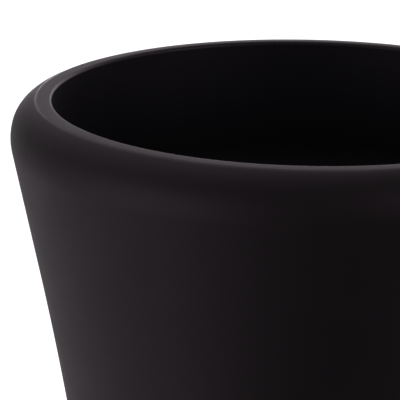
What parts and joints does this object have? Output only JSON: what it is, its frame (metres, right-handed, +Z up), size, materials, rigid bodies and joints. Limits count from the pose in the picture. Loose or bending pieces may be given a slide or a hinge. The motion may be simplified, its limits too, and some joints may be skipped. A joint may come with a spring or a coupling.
{
  "type": "candle jar",
  "caption": "Empty round ceramic candle jar: tapered wall, soft rolled shoulder, flat-topped rim with an open mouth, and a flat foot on small pads.",
  "frame": {"origin": "on the table, under the middle of the jar: bottom centre of the bounding box", "axes": "+Z up along the jar's axis, out of its mouth; X and Y are free, because the jar is round"},
  "size_m": [0.1, 0.1, 0.095],
  "materials": {
    "fired_clay": "matte",
    "outer_glaze": "matte",
    "inner_glaze": "satin",
    "pad_silicone": "satin"
  },
  "bodies": {
    "root": {"jar_body": "fired_clay", "outer_glaze": "outer_glaze", "inner_glaze": "inner_glaze", "foot_pads": "pad_silicone"}
  },
  "joints": []
}
